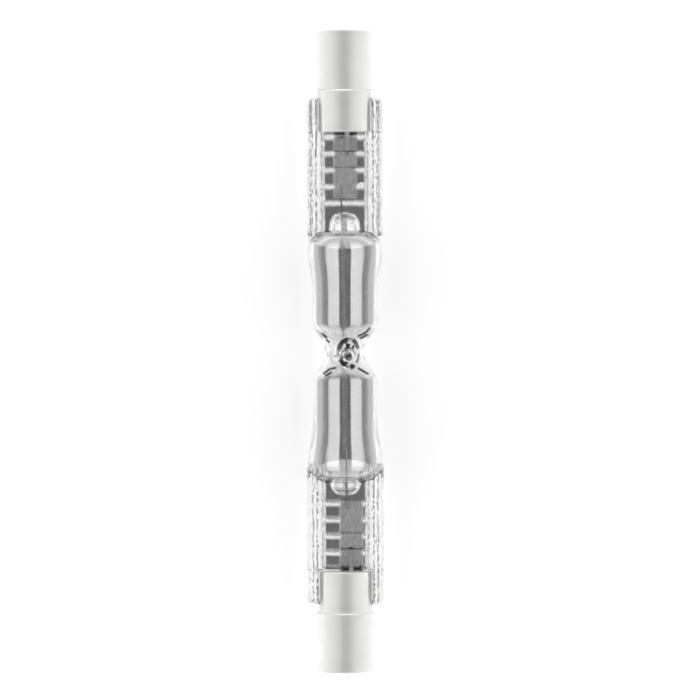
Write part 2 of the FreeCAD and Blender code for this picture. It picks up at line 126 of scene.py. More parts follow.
# %% Colours and nodes
def linear(code):
    """Hex sRGB colour as linear RGBA: divide by 12.92 near black, else a power of 2.4."""
    parts = np.array([int(code[i : i + 2], 16) / 255 for i in (1, 3, 5)])
    light = np.where(parts <= 0.04045, parts / 12.92, ((parts + 0.055) / 1.055) ** 2.4)
    return (*[float(part) for part in light], 1.0)


def add_node(tree, kind, inputs=None, **settings):
    """Adds a node. Inputs map a socket's name or number to a value, a node or an output socket."""
    made = tree.nodes.new(kind)
    for name, setting in settings.items():
        setattr(made, name, setting)
    for name, source in (inputs or {}).items():
        if isinstance(source, bpy.types.Node):
            source = source.outputs[0]
        if isinstance(source, bpy.types.NodeSocket):
            tree.links.new(source, made.inputs[name])
        else:
            made.inputs[name].default_value = source
    return made


def new_material(name):
    """An empty material and its tree."""
    material = bpy.data.materials.new(name)
    material.use_nodes = True
    material.node_tree.nodes.clear()
    return material, material.node_tree


print("middle grey in linear light:", [round(part, 3) for part in linear("#808080")])

# %% [markdown]
# No real surface is quite even. Fired clay has grain, wire has drawing marks and pressed glass
# has ripples. All of these are soft noise of a known size, drawn out along the way the surface
# was worked. The noise reads the object's own coordinates, so it stays put when the bulb moves.

# %% Uneven spots of a known size
def pattern(tree, size_mm, stretch=(1, 1, 1), **options):
    """Soft noise whose blobs are about size_mm across, drawn out by stretch along each axis."""
    place = add_node(tree, "ShaderNodeTexCoord").outputs["Object"]
    scale = tuple(1 / (size_mm * MM * side) for side in stretch)
    mapped = add_node(tree, "ShaderNodeMapping", {"Vector": place, "Scale": scale})
    inputs = {"Vector": mapped, "Scale": 1.0, "Detail": 3.0, "Roughness": 0.5} | options
    return add_node(tree, "ShaderNodeTexNoise", inputs)


print("blobs of 0.2 mm along a bulb of 78 mm:", round(78 / 0.2))

# %% [markdown]
# The envelope is fused quartz. The chambers were blown, so they are as smooth as the flame left
# them, while the seals were pressed hot between jaws, which leaves waves, seams and folds. The
# quartz is clear, so the grey of the hollow, the darker grey of the seals' flat windows and the
# clear rails beside them are painted shade in the glass's tint. Numbers on the points keep that
# painted shade with the shape: one says how much light each skin lets through, one where the
# rails are pressed and take painted dark seam lines, and one where a fold is painted dark.

# %% Seam lines in the pressed quartz, painted dark as shade
SEAM_LINES_AND_SHADE_MM = ((2.78, 0.1, 1.0), (3.44, 0.24, 1.0), (3.98, 0.12, 1.0), (4.5, 0.05, 0.5))
SWAY_MM = 0.3

quartz, tree = new_material("fused_quartz_blown_and_pressed")
shade_tint = add_node(tree, "ShaderNodeAttribute", attribute_name="shade_tint").outputs["Fac"]
pressed = add_node(tree, "ShaderNodeAttribute", attribute_name="pressed").outputs["Fac"]
fold_shade = add_node(tree, "ShaderNodeAttribute", attribute_name="fold_shade").outputs["Fac"]
place = add_node(tree, "ShaderNodeTexCoord").outputs["Object"]
aside = add_node(tree, "ShaderNodeSeparateXYZ", {0: place}).outputs["X"]
aside = add_node(tree, "ShaderNodeMath", {0: aside}, operation="ABSOLUTE")
sway = {0: pattern(tree, 1.1), 1: SWAY_MM * MM, 2: aside}
sway = add_node(tree, "ShaderNodeMath", sway, operation="MULTIPLY_ADD")
lines = 0.0
for middle, reach, depth in SEAM_LINES_AND_SHADE_MM:
    seam_place = (middle + SWAY_MM / 2) * MM
    off = add_node(tree, "ShaderNodeMath", {0: sway, 1: seam_place}, operation="SUBTRACT")
    off = add_node(tree, "ShaderNodeMath", {0: off}, operation="ABSOLUTE")
    inputs = {"Value": off, "From Max": reach * MM, "To Min": depth, "To Max": 0.0}
    line = add_node(tree, "ShaderNodeMapRange", inputs, interpolation_type="SMOOTHSTEP")
    lines = add_node(tree, "ShaderNodeMath", {0: line, 1: lines}, operation="MAXIMUM")
line_breaks = pattern(tree, 0.22, stretch=(1, 1.8, 1), Detail=3.0, Roughness=0.6)
broken = {"Value": line_breaks, "From Min": 0.43, "From Max": 0.52}
broken = add_node(tree, "ShaderNodeMapRange", broken)
seam_crease_and_shade = add_node(tree, "ShaderNodeMath", {0: lines, 1: broken}, operation="MULTIPLY")
seam_crease_and_shade = add_node(tree, "ShaderNodeMath", {0: seam_crease_and_shade, 1: pressed}, operation="MULTIPLY")
print("seam lines at each side, mm from the axis:", [row[0] for row in SEAM_LINES_AND_SHADE_MM])

# %% Fused quartz
# The body's index is that of quartz. Its colour is the painted shade of the tint, darker still
# along the seams and folds. The clear coat stands for the bright flashes that a polished tube
# throws, so its index is higher, and it is gone where seams and folds are painted dark.
RIPPLE_MM, CREASE_MM = 0.006, 0.06
dark = add_node(tree, "ShaderNodeMath", {0: seam_crease_and_shade, 1: fold_shade}, operation="MAXIMUM")
open_glass = add_node(tree, "ShaderNodeMath", {0: 1.0, 1: dark}, operation="SUBTRACT")
clear = add_node(tree, "ShaderNodeMath", {0: shade_tint, 1: open_glass}, operation="MULTIPLY")
ripple = pattern(tree, 0.9, stretch=(1, 2.5, 1))
soft = add_node(tree, "ShaderNodeBump", {"Height": ripple, "Distance": RIPPLE_MM * MM})
crease = {"Height": seam_crease_and_shade, "Distance": CREASE_MM * MM, "Normal": soft}
body = {
    "Base Color": clear,
    "Roughness": 0.0,
    "IOR": 1.4585,
    "Transmission Weight": 1.0,
    "Coat Weight": open_glass,
    "Coat Roughness": 0.0,
    "Coat IOR": 2.3,
    "Normal": add_node(tree, "ShaderNodeBump", crease),
}
body = add_node(tree, "ShaderNodeBsdfPrincipled", body)
add_node(tree, "ShaderNodeOutputMaterial", {"Surface": body})
print("quartz bends light by", round(body.inputs["IOR"].default_value, 4))

# %% [markdown]
# The outside of the envelope is one skin. Seen from above, each place along the bulb has a
# half-width, and inside that width the skin has a height. A round chamber and a flat seal are
# both such heights, so the larger of the two, taken softly, runs one into the other as molten
# glass does. Two solids joined edge to edge would leave a sharp line there instead. The two ends
# were shaped by different strokes of the jaws, so each has its own lengths.

# %% Lengths of the two ends
ENDS = {
    "waist": (0.6, 0.65),
    "shoulder": (3.6, 3.46),
    "tube": (3.99, 3.92),
    "flare": (7.5, 8.9),
    "bulge": (4.58, 4.61),
    "widest": (12.4, 13.4),
    "bowl_end": (16.6, 17.1),
    "rail": (4.61, 4.74),
    "rib": (18.07, 18.5),
    "rib_width": (0.34, 0.4),
    "foil": (18.76, 18.0),
    "foil_x": (0.11, 0.72),
}


def of_end(name, y):
    """The value of a length at end a where y is above zero and at end b elsewhere."""
    return np.where(y >= 0, ENDS[name][0], ENDS[name][1])


def ramp(value, start, end):
    """Smooth step from 0 at start to 1 at end: t squared times three less twice t."""
    t = np.clip((value - start) / (end - start), 0, 1)
    return t * t * (3 - 2 * t)


def hump(distance, width):
    """A round bump one high at distance 0 and gone at width: cosine squared."""
    return np.cos(np.clip(distance / width, -1, 1) * np.pi / 2) ** 2


def wander(y, size, seed):
    """A slow irregular wave: the mean of three sines whose lengths have no common measure."""
    waves = np.sin(y / size + seed) + np.sin(y / size * 1.93 + 2.1 * seed)
    return (waves + np.sin(y / size * 3.31 + seed**2)) / 3


print("lengths that differ between the ends:", len(ENDS))

# %% Radius of the chambers
WAIST, DOME, BOWL, WALL = 2.56, 2.2, 1.9, 0.75


def chamber_radius(y, inset=0.0):
    """Radius of the blown chambers, set in by a wall: waist, tube, bulge, then a round dome."""
    d = np.abs(y)
    neck = ramp(d, of_end("waist", y), of_end("shoulder", y))
    tube = WAIST + (of_end("tube", y) - WAIST) * neck
    swell = ramp(d, of_end("flare", y), of_end("widest", y))
    wide = tube + (of_end("bulge", y) - tube) * swell
    curve = DOME - np.minimum(inset, WALL) / 2
    fall = np.clip((d - of_end("widest", y)) / curve, 0, 1)
    return wide - inset - curve * (1 - np.sqrt(1 - fall**2))


def outer_radius(y):
    """Radius of the outside: the chambers, and past each dome the smaller round over the bowl."""
    d = np.abs(y)
    top = of_end("widest", y) + DOME
    end = of_end("bowl_end", y) + 0.75
    bowl = BOWL * np.sqrt(1 - np.clip((d - top) / (end - top), 0, 1) ** 2)
    return np.where(d < top, chamber_radius(y), bowl)


print("radius at the waist and in both chambers, mm:", outer_radius(np.array([0, 6, -6])).round(2))

# %% [markdown]
# The seal was pressed between two jaws. A flat web, the window, lies between two thick rails, and
# five ribs cross it. Each rail is really two beads with a shallow groove between them, because
# the jaws folded the tube's wall over on itself, and the beads wander a little. Beside the cap's
# neck only a thin tongue of the web goes on into the cap.

# %% Half-width and ribs of the seals
RAIL_START, PINCH_END = 13.3, 30.9
RIB_PITCH, RIB_COUNT, RIB_RISE = 2.0, 5, 0.2
RIBS = RIB_PITCH * np.arange(RIB_COUNT)


def rail_width(y):
    """Half-width over the rails, which starts a little narrow and ends with rounded corners."""
    d = np.abs(y)
    start = 0.34 * (1 - ramp(d, RAIL_START, RAIL_START + 0.9))
    corner = 0.35 * (1 - np.sqrt(1 - np.clip((d - PINCH_END + 0.5) / 0.5, 0, 1) ** 2))
    return (of_end("rail", y) - start - corner) * (d > RAIL_START)


def rib_height(x, y):
    """Height of the five ribs: a round bump at each, thinner where the foil lies under it."""
    d = np.abs(y)[..., None]
    places = of_end("rib", y)[..., None] + RIBS + 0.05 * wander(x, 0.9, 1.3)[..., None]
    share = 0.35 + 0.65 * ramp(np.abs(x - of_end("foil_x", y)), 1.15, 1.4)
    rows = hump(d - places, (of_end("rib_width", y) * share)[..., None]).sum(-1)
    return RIB_RISE * rows


print("half-width of the seals, mm:", rail_width(np.array([20.0, -20.0])))

# %% Height of the pressed seals
WEB, RAIL, RAIL_INSIDE = 1.2, 1.84, (2.45, 2.95)
MOUTH, NECK_ROOM, TONGUE = 26.75, 3.35, 0.75


def pressed_height(x, y):
    """Height of the seal over its middle: web, ribs, and rails with an elliptical outer side."""
    across, width, side = np.abs(x), rail_width(y), np.sign(x)
    flank = ramp(across + 0.05 * wander(y, 0.6, 3.0 + side), *RAIL_INSIDE)
    groove = 0.14 * hump(across - 3.5 - 0.07 * wander(y, 0.8, 1.0 + side), 0.28)
    rail = RAIL - groove - 0.08 * hump(across - 4.1, 0.2)
    edge = np.clip((across - width + 0.75) / 0.75, 0, 1)
    top = WEB + rib_height(x, y) * (1 - flank) + (rail - WEB) * flank
    start = np.sqrt(1 - (1 - np.clip((np.abs(y) - RAIL_START) / 0.9, 0, 1)) ** 2)
    end = np.sqrt(1 - np.clip((np.abs(y) - PINCH_END + 0.6) / 0.6, 0, 1) ** 2 * 0.9)
    solid = top * start * end * np.sqrt(1 - edge**2)
    beside_neck = (np.abs(y) > MOUTH) & (across < NECK_ROOM)
    return np.where(beside_neck, np.minimum(solid, TONGUE), solid)


between_ribs = pressed_height(np.array([0.0, 3.0]), np.array([19.1, 19.1]))
print("height of the window and of a rail, mm:", between_ribs.round(2))

# %% [markdown]
# On the waist stands the exhaust tip, the stub where the tube that emptied and filled the bulb
# was melted off. A separate blob would show a seam, so its round is one more height of the same
# skin, on the upper side only.

# %% The exhaust tip
TIP_X, TIP_WIDE, TIP_LONG, TIP_FOOT, TIP_TOP = 0.3, 1.4, 1.9, 2.15, 4.2


def tip_height(x, y):
    """The melted stub: the upper half of an egg, with a small nipple where the flame let go."""
    out = ((x - TIP_X) / TIP_WIDE) ** 2 + (y / TIP_LONG) ** 2
    egg = TIP_FOOT + (TIP_TOP - TIP_FOOT) * np.sqrt(np.clip(1 - out, 0, 1)) ** 1.1
    away = np.hypot(x - TIP_X, y + 0.3)
    folds = 0.07 * hump(away, 0.22) - 0.16 * hump(away - 0.5, 0.28) - 0.1 * hump(away - 1.05, 0.2)
    lumps = 0.04 * wander(x + 0.4 * y, 0.16, 1.7) * wander(y, 0.21, 0.6)
    return np.where(out < 1, egg + (folds + lumps) * np.clip(3 - 3 * out, 0, 1), 0)


def soft_maximum(*heights, power=8):
    """Root of the summed high powers, which rounds the seam between two heights."""
    return sum(np.maximum(height, 0) ** power for height in heights) ** (1 / power)


print("top of the tip, mm over the axis:", tip_height(np.array([TIP_X]), np.array([-0.3])).round(2))


# %% The outside skin
def stations(*spans):
    """Places along the bulb, each span as its start, end and number of steps."""
    runs = [np.linspace(start, end, steps, endpoint=False) for start, end, steps in spans]
    return np.concatenate(runs + [[spans[-1][1]]])


def both_ways(places):
    """The same places on both sides of the middle."""
    return np.concatenate([-places[:0:-1], places])


AROUND = 180
blown_part = ((0, 3, 40), (3, 4, 8), (4, 12, 14), (12, 15, 24), (15, 17.6, 10))
pressed_part = ((17.6, 27.2, 72), (27.2, 30.3, 5), (30.3, PINCH_END, 6))
along = both_ways(stations(*blown_part, *pressed_part))
turn = np.linspace(0, 2 * np.pi, AROUND, endpoint=False)
y, angle = np.meshgrid(along, turn, indexing="ij")
half_width = np.maximum(outer_radius(y), rail_width(y))
x = half_width * np.cos(angle)
blown = np.sqrt(np.clip(outer_radius(y) ** 2 - x**2, 0, None))
upper = angle < np.pi
height = soft_maximum(blown, pressed_height(x, y), power=5)
height = soft_maximum(height, tip_height(x, y) * upper)
outside = np.stack([x, y, np.where(upper, height, -height)], axis=-1)
outside[:, (0, AROUND // 2), 2] = 0
print("outside skin:", outside.shape, "top, mm:", outside[..., 2].max().round(2))

# %% [markdown]
# The light comes straight through the rails and the ribs, while the flat windows between them look
# dark. That dark is painted shade: one tint for the whole envelope would make the rails grey too,
# so the window gets its own low clarity, which leaves out the ribs, the foil and a blob where
# quartz ran together beside foil a. The ribs of the lower skin are made wider, because the rays
# are bent and spread before they reach it.

# %% Clarity of the outside skin, with painted shade over the windows
WINDOW_PAINTED_SHADE, WINDOW_EDGE, FOIL_HALF = 0.83, (2.42, 2.55), 1.45

d, end = np.abs(y), of_end("bowl_end", y)
round_bowl = np.abs((d - end + 1.9) / 2.1) ** 3 + np.abs(x / 1.85) ** 3
above_bowl = ramp(d, end - 2.1, end - 1.9) * ramp(round_bowl, 0.95, 1.1)
shaded_window = (1 - ramp(np.abs(x) + 0.08 * wander(y, 0.5, 2.0), *WINDOW_EDGE)) * above_bowl
over_foil = (np.abs(x - of_end("foil_x", y)) < FOIL_HALF) & (d > of_end("foil", y))
rib_gap = np.abs(d[..., None] - (of_end("rib", y)[..., None] + RIBS)).min(-1)
rib_gap = rib_gap + 0.05 * wander(x + y, 0.25, 1.7)
rib_reach = np.where(upper, 0.2, 0.4) * np.where(over_foil, 0.4, 1.0)
on_rib = 1 - ramp(rib_gap, rib_reach - 0.06, rib_reach + 0.06)
melted = ((x - 2.1) / 0.55) ** 2 + ((y - 20.3) / 0.32) ** 2 + 0.3 * wander(x + y, 0.2, 2.2)
shaded_window = shaded_window * ramp(melted, 0.8, 1.1)
outside_shade_tint = 1 - WINDOW_PAINTED_SHADE * shaded_window * (1 - over_foil) * (1 - on_rib)
on_rails = ramp(d, RAIL_START + 0.5, RAIL_START + 1.0) * (1 - ramp(d, 30.3, 30.7))
on_rails = on_rails * (np.abs(x) > 2.55)
print("share of the skin that is dark window:", (outside_shade_tint < 0.5).mean().round(3))

# %% [markdown]
# Where the exhaust tube was melted off and the waist was squeezed, the soft quartz folded over on
# itself. Each fold sinks the skin in a shallow groove and is painted dark along it as shade. Each
# is drawn as a short stroke, which is easier to place than a carved groove: an arc round the tip,
# given by its share of the tip's radius, its half-width and its two angles, a round spot, or a
# straight crease on a shoulder.

# %% Strokes of the folds
ARCS = (
    (0.8, 0.14, 88, 168),
    (0.93, 0.12, 12, 60),
    (0.48, 0.11, 62, 108),
    (0.62, 0.11, 28, 48),
    (0.68, 0.09, -155, -88),
    (0.86, 0.07, -150, -96),
    (0.97, 0.08, -42, -2),
)
SPOTS = (
    (0.46, -0.5, 0.42, 0.5),
    (0.75, -1.68, 0.55, 0.34),
    (0.18, 0.43, 0.13, 0.13),
    (-0.35, 0.1, 0.12, 0.12),
    (-1.24, -0.46, 0.12, 0.16),
)
CREASES = (
    (-2.69, 2.3, -2.25, 1.85),
    (-2.25, 1.5, -1.9, 1.25),
    (1.6, 2.0, 2.3, 2.3),
    (2.3, 2.3, 2.98, 2.92),
    (1.86, 1.75, 2.65, 2.15),
    (-2.56, -2.56, -1.9, -2.05),
    (-1.9, -2.05, -1.15, -1.85),
    (-2.35, -2.8, -1.7, -2.4),
    (1.6, -1.96, 2.75, -2.6),
)
FAINT = (
    (2.24, 1.0, 2.2, 0.7),
    (2.18, -0.53, 2.4, -1.02),
    (-2.4, 0.73, -2.3, 0.25),
    (-2.15, -0.07, -2.08, -0.5),
    (-1.75, 0.1, -1.68, -1.0),
    (-0.4, 2.9, -0.1, 2.3),
    (-0.1, 2.3, -0.25, 1.9),
)
# The glints take the painted shade away again along two short strokes.
GLINTS = ((0.48, -0.68, 0.5, -0.66, 0.14), (0.42, -1.5, 0.5, -1.95, 0.12))
print("strokes:", len(ARCS) + len(SPOTS) + len(CREASES) + len(FAINT))

# %% Fold grooves on the skin and their painted shade
FOLD_DEPTH = 0.05


def stroke(x, y, start_x, start_y, end_x, end_y):
    """Distance from a straight stroke: to the nearest point of the line between its two ends."""
    run_x, run_y = end_x - start_x, end_y - start_y
    share = ((x - start_x) * run_x + (y - start_y) * run_y) / (run_x**2 + run_y**2)
    share = np.clip(share, 0, 1)
    return np.hypot(x - start_x - share * run_x, y - start_y - share * run_y)


def fold_marks(x, y):
    """How dark the painted shade of the folds is: 1 on a stroke or spot, 0 away from it."""
    u, v = (x - TIP_X) / TIP_WIDE, y / TIP_LONG
    out, turn = np.hypot(u, v), np.degrees(np.arctan2(v, u))
    out = out + 0.03 * wander(turn, 14.0, 1.0)
    dark = np.zeros_like(x)
    for middle, half, first, last in ARCS:
        within = ramp(turn, first - 4, first + 4) * (1 - ramp(turn, last - 4, last + 4))
        arc = 1 - ramp(np.abs(out - middle), half * 1.1, half * 1.4)
        dark = np.maximum(dark, arc * within)
    for spot_x, spot_y, wide, long in SPOTS:
        away = np.hypot((x - spot_x) / wide, (y - spot_y) / long)
        away = away + 0.1 * wander(x * 3 + y, 0.3, 1.5)
        dark = np.maximum(dark, 1 - ramp(away, 0.85, 1.05))
    for crease in CREASES:
        dark = np.maximum(dark, 1 - ramp(stroke(x, y, *crease), 0.08, 0.2))
    for crease in FAINT:
        dark = np.maximum(dark, 0.6 * (1 - ramp(stroke(x, y, *crease), 0.04, 0.16)))
    light = sum(hump(stroke(x, y, *glint[:4]), glint[4]) for glint in GLINTS)
    return np.clip(dark - 1.6 * light, 0, 1)


# Painted shade along the folds, on the upper skin only; the same numbers sink the skin as a groove.
fold_groove_and_shade = fold_marks(x, y) * upper
outside[..., 2] -= FOLD_DEPTH * fold_groove_and_shade
print("points on a fold:", int((fold_groove_and_shade > 0.5).sum()))

# %% [markdown]
# The inside skin is turned: the chambers' own profile set in by the wall, joined at the middle by
# the narrow throat and ending at each side in a round bowl where the lead comes in. It could be
# cut out of the outside with a boolean, but a second closed table in the same mesh gives clean
# rings. Its faces look inward, into the hollow, because for glass the outward side is always the
# side with no glass.

# %% Radius of the hollow
THROAT, BOWL_INSIDE, TUBE_WALL = 1.6, 1.65, 0.45


def cavity_radius(y):
    """Radius of the hollow: the chambers less the wall, softly joined to throat and bowl."""
    d, end = np.abs(y), of_end("bowl_end", y)
    top = of_end("widest", y) + DOME - WALL / 2
    into = np.clip((d - end + BOWL_INSIDE) / BOWL_INSIDE, 0, 1)
    bowl = BOWL_INSIDE * (1 - into**3) ** (1 / 3)
    wall = TUBE_WALL + (WALL - TUBE_WALL) * (ramp(d, 8.0, 12.4) + 1 - ramp(d, 1.6, 3.6))
    return np.where(d < top, soft_maximum(chamber_radius(y, wall), THROAT, power=10), bowl)


inner_spans = ((0, 0.8, 12), (0.8, 4, 22), (4, 12, 16), (12, 14.4, 26), (14.4, 16, 8))
inner_along = both_ways(stations(*inner_spans, (16, 17.1, 20)))
squeeze = np.where(inner_along > 0, ENDS["bowl_end"][0] / 17.1, 1.0)
inner_turn = np.linspace(0, 2 * np.pi, 120, endpoint=False)
y, angle = np.meshgrid(inner_along * squeeze, -inner_turn, indexing="ij")
radius = np.maximum(cavity_radius(y), 0.02)
print("radius of the hollow, mm, from", radius.min().round(2), "to", radius.max().round(2))

# %% [markdown]
# The bore of the exhaust tube still shows as a dimple in the throat, under the tip. The hollow's
# grey is painted shade in the clarity of the inside skin, darker toward the bottom: the upper skin
# must stay clear for the coil to be seen, so the clarity grows from the bottom to the top. It is
# full at the throat and stronger under the domes, where the painted shade is lifted.

# %% The inside skin
BORE_HALF, BORE_RISE = 0.5, 1.3

over_axis = np.hypot(1.81 * np.cos(angle), y) / BORE_HALF
bore = np.sqrt(np.clip(1 - over_axis**2, 0, 1)) * (np.sin(angle) > 0)
radius = radius + BORE_RISE * bore
inside = np.stack([radius * np.cos(angle), y, radius * np.sin(angle)], axis=-1)
x, d = inside[..., 0], np.abs(y)
# Painted shade: the inside skin darker toward the bottom, lighter at the throat and under the domes.
shade_toward_bottom = 0.2 * np.exp(1.6 * inside[..., 2] / radius)
under_dome = ramp(d - of_end("widest", y) - 0.05 * x**2, 0, 0.15)
past_throat = ramp(d - 2.0 - 0.25 * np.abs(x), 0, 0.7)
inside_shade_tint = shade_toward_bottom + 0.6 * under_dome + 0.7 * (1 - past_throat)
nothing = np.zeros(inside_shade_tint.size)
add_piece(
    "quartz_glass_envelope",
    [outside, inside],
    quartz,
    "quartz_glass",
    "quartz_envelope",
    {
        "shade_tint": np.concatenate([outside_shade_tint.ravel(), inside_shade_tint.ravel()]),
        "pressed": np.concatenate([on_rails.ravel(), nothing]),
        "fold_shade": np.concatenate([fold_groove_and_shade.ravel(), nothing]),
    },
)

# %% [markdown]
# The caps are steatite, a white ceramic pressed from powder and fired without a glaze. It is
# dense and smooth enough to shine a little. A plain white would look like plastic, so a cloudy
# tone and a fine grain break the shine.

# %% Fired steatite for the caps
steatite, tree = new_material("steatite_pressed_and_fired")
grain = pattern(tree, 0.12)
cloud = pattern(tree, 2.5, Detail=1.0)
tone = {"Factor": cloud, 6: linear("#E6E6E4"), 7: linear("#EEEEEC")}
body = {
    "Base Color": add_node(tree, "ShaderNodeMix", tone, data_type="RGBA").outputs[2],
    "Roughness": add_node(tree, "ShaderNodeMapRange", {"Value": grain, "To Min": 0.26, "To Max": 0.38}),
    "IOR": 1.6,
    "Normal": add_node(tree, "ShaderNodeBump", {"Height": grain, "Distance": 0.003 * MM}),
}
body = add_node(tree, "ShaderNodeBsdfPrincipled", body)
add_node(tree, "ShaderNodeOutputMaterial", {"Surface": body})
print("material:", steatite.name)

# %% [markdown]
# Cement fills the slot of each cap round the tongue of the seal. It is ground silica set with
# water glass, and dries to a matt and gritty grey white. Grit and colour come from the same
# noise, because the raised grains are the paler ones.

# %% Cement
cement, tree = new_material("cap_cement_set_and_dried")
grit = pattern(tree, 0.2, Detail=6.0, Roughness=0.7)
tone = {"Factor": grit, 6: linear("#A9A6A0"), 7: linear("#D2D0CB")}
body = {
    "Base Color": add_node(tree, "ShaderNodeMix", tone, data_type="RGBA").outputs[2],
    "Roughness": 0.9,
    "Normal": add_node(tree, "ShaderNodeBump", {"Height": grit, "Distance": 0.05 * MM}),
}
body = add_node(tree, "ShaderNodeBsdfPrincipled", body)
add_node(tree, "ShaderNodeOutputMaterial", {"Surface": body})
print("material:", cement.name)

# %% [markdown]
# The contacts are turned on a lathe and nickel plated. The tool leaves fine rings round the axis,
# which catch the light as a faint bow tie. The real rings are finer than the eye can part, so
# they are drawn 0.08 mm apart. Rings follow from the distance to the bulb's axis.

# %% Turned nickel
RING_MM = 0.08

nickel, tree = new_material("nickel_turned_and_plated")
place = add_node(tree, "ShaderNodeTexCoord").outputs["Object"]
flat = add_node(tree, "ShaderNodeVectorMath", {0: place, 1: (1, 0, 1)}, operation="MULTIPLY")
ring = add_node(tree, "ShaderNodeVectorMath", {0: flat}, operation="LENGTH").outputs["Value"]
groove = {0: ring, 1: 2 * np.pi / (RING_MM * MM)}
groove = add_node(tree, "ShaderNodeMath", groove, operation="MULTIPLY")
groove = add_node(tree, "ShaderNodeMath", {0: groove}, operation="SINE")
dull = {"Value": pattern(tree, 0.5), "To Min": 0.22, "To Max": 0.36}
body = {
    "Base Color": linear("#C9C6BF"),
    "Metallic": 1.0,
    "Roughness": add_node(tree, "ShaderNodeMapRange", dull),
    "Normal": add_node(tree, "ShaderNodeBump", {"Height": groove, "Distance": 0.002 * MM}),
}
body = add_node(tree, "ShaderNodeBsdfPrincipled", body)
add_node(tree, "ShaderNodeOutputMaterial", {"Surface": body})
print("rings across a contact of 3.6 mm:", round(1.8 / RING_MM))

# %% [markdown]
# The leads are molybdenum wire, pulled through a die. Drawing leaves long scratches, so the wire
# shines in streaks along its length. The noise is drawn out fourteen times along Y for them.

# %% Drawn molybdenum
drawn_wire, tree = new_material("molybdenum_wire_drawn")
streak = pattern(tree, 0.06, stretch=(1, 14, 1))
shade = {"Factor": streak, 6: linear("#8C8D90"), 7: linear("#D0D1D3")}
body = {
    "Base Color": add_node(tree, "ShaderNodeMix", shade, data_type="RGBA").outputs[2],
    "Metallic": 1.0,
    "Roughness": 0.3,
    "Normal": add_node(tree, "ShaderNodeBump", {"Height": streak, "Distance": 0.004 * MM}),
}
body = add_node(tree, "ShaderNodeBsdfPrincipled", body)
add_node(tree, "ShaderNodeOutputMaterial", {"Surface": body})
print("material:", drawn_wire.name)

# %% [markdown]
# The foils are molybdenum too, rolled to a few hundredths of a millimetre and etched until they
# can follow the quartz as it cools. That skin is dull and mottled rather than bright, so most of
# it is a matt grey with only a little metal shine. Its thin edges are painted pale, a painted
# highlight, and it is scorched where the outer lead is welded to it. Numbers on the points say
# where the pale edge and the dark marks are.

# %% Rolled foil
rolled_foil, tree = new_material("molybdenum_foil_rolled_and_etched")
mottle = pattern(tree, 0.5, stretch=(1, 1.5, 1), Detail=6.0, Roughness=0.7)
brush = pattern(tree, 0.12, stretch=(1, 5, 1))
mixed = add_node(tree, "ShaderNodeMath", {0: mottle, 1: brush}, operation="ADD")
tone = {"Value": mixed, "From Min": 0.6, "From Max": 1.25}
tone = add_node(tree, "ShaderNodeMapRange", tone)
shade = {"Factor": tone, 6: linear("#BEBEBE"), 7: linear("#FFFFFF")}
shade = add_node(tree, "ShaderNodeMix", shade, data_type="RGBA").outputs[2]
# Painted highlight: the thin edges are mixed toward white.
edge = add_node(tree, "ShaderNodeAttribute", attribute_name="edge").outputs["Fac"]
pale_edge_highlight = {"Factor": edge, 6: shade, 7: linear("#FFFFFF")}
pale_edge_highlight = add_node(tree, "ShaderNodeMix", pale_edge_highlight, data_type="RGBA").outputs[2]
burn = add_node(tree, "ShaderNodeAttribute", attribute_name="burn").outputs["Fac"]
scorched = {"Factor": burn, 6: pale_edge_highlight, 7: linear("#1C1C1C")}
body = {
    "Base Color": add_node(tree, "ShaderNodeMix", scorched, data_type="RGBA").outputs[2],
    "Metallic": 0.1,
    "Roughness": 0.6,
    "Normal": add_node(tree, "ShaderNodeBump", {"Height": mixed, "Distance": 0.02 * MM}),
}
body = add_node(tree, "ShaderNodeBsdfPrincipled", body)
add_node(tree, "ShaderNodeOutputMaterial", {"Surface": body})
print("material:", rolled_foil.name)

# %% [markdown]
# Tungsten that has once glowed is no longer smooth wire. Its grain has grown and its skin has
# turned a soft pale grey, so it scatters light as much as it mirrors it.

# %% Glowed tungsten
tungsten, tree = new_material("tungsten_wire_recrystallised")
crystal = pattern(tree, 0.08)
shade = {"Factor": crystal, 6: linear("#D6D7D9"), 7: linear("#FFFFFF")}
body = {
    "Base Color": add_node(tree, "ShaderNodeMix", shade, data_type="RGBA").outputs[2],
    "Metallic": 0.35,
    "Roughness": 0.4,
    "Normal": add_node(tree, "ShaderNodeBump", {"Height": crystal, "Distance": 0.003 * MM}),
}
body = add_node(tree, "ShaderNodeBsdfPrincipled", body)
add_node(tree, "ShaderNodeOutputMaterial", {"Surface": body})
print("material:", tungsten.name)

# %% [markdown]
# The caps, the contacts, the cement and the outer leads are right as they come from the CAD
# model: turned and pressed shapes with plain edges. Building them again would gain nothing, so
# they keep their meshes and only get their finish.

# %% Dress the pieces that keep their shape
DRESS = {
    "ceramic_cap": (steatite, "white_ceramic"),
    "contact_button": (nickel, "nickel_contact"),
    "cement": (cement, "cap_cement"),
    "outer_lead": (drawn_wire, "molybdenum_wire"),
}
for name, (material, slot) in DRESS.items():
    for end in "ab":
        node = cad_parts[f"{name}_{end}"]
        node.data.materials.clear()
        node.data.materials.append(material)
print("pieces dressed at each end:", list(DRESS))

# %% [markdown]
# The filament is one tungsten wire: a thin straight tail, a coil, a link through the waist, the
# other coil and a tail. A wire is a ring of points carried along a path, so the path is worked
# out first. In a coil it is a helix, and where the straight wire turns into the coil the corner
# is rounded by averaging each point with its neighbours, as the wire is bent over a mandrel. A
# curve object could be given a round bevel too, but its rings would bunch up at such corners.

